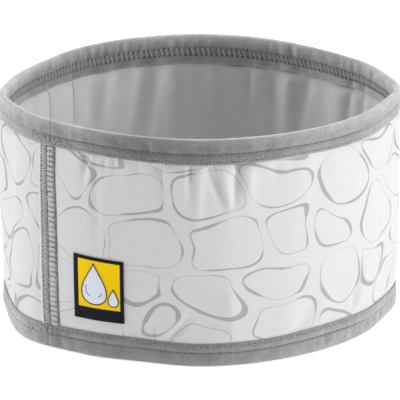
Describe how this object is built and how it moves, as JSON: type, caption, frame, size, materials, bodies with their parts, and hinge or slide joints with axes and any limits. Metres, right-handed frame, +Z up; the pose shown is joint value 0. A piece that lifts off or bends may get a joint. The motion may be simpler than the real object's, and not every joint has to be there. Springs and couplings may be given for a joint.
{
  "type": "dog cooling neck gaiter",
  "caption": "Short oval cloth tube worn round a dog's neck, printed outside, lined inside, bound at both rims, standing on its lower rim.",
  "frame": {"origin": "middle of the foot, on the surface that the gaiter stands on", "axes": "+Z up along the tube, from the foot to the upper rim; +X to the wearer's side, along the wider way across; the label and the side seam face -Y"},
  "size_m": [0.141, 0.1369, 0.0809],
  "materials": {
    "outer_cloth": "smooth white knit with a fine grey print of pebble outlines",
    "lining_cloth": "fine light grey knit, matt",
    "binding_knit": "mid grey knitted binding with a faint sheen",
    "seam_thread": "grey overlock stitching",
    "label_weave": "yellow woven label with a dark border"
  },
  "bodies": {
    "root": {"outer_panel": "outer_cloth", "lining": "lining_cloth", "top_binding": "binding_knit", "bottom_binding": "binding_knit", "side_seam": "seam_thread", "label": "label_weave"}
  },
  "joints": []
}
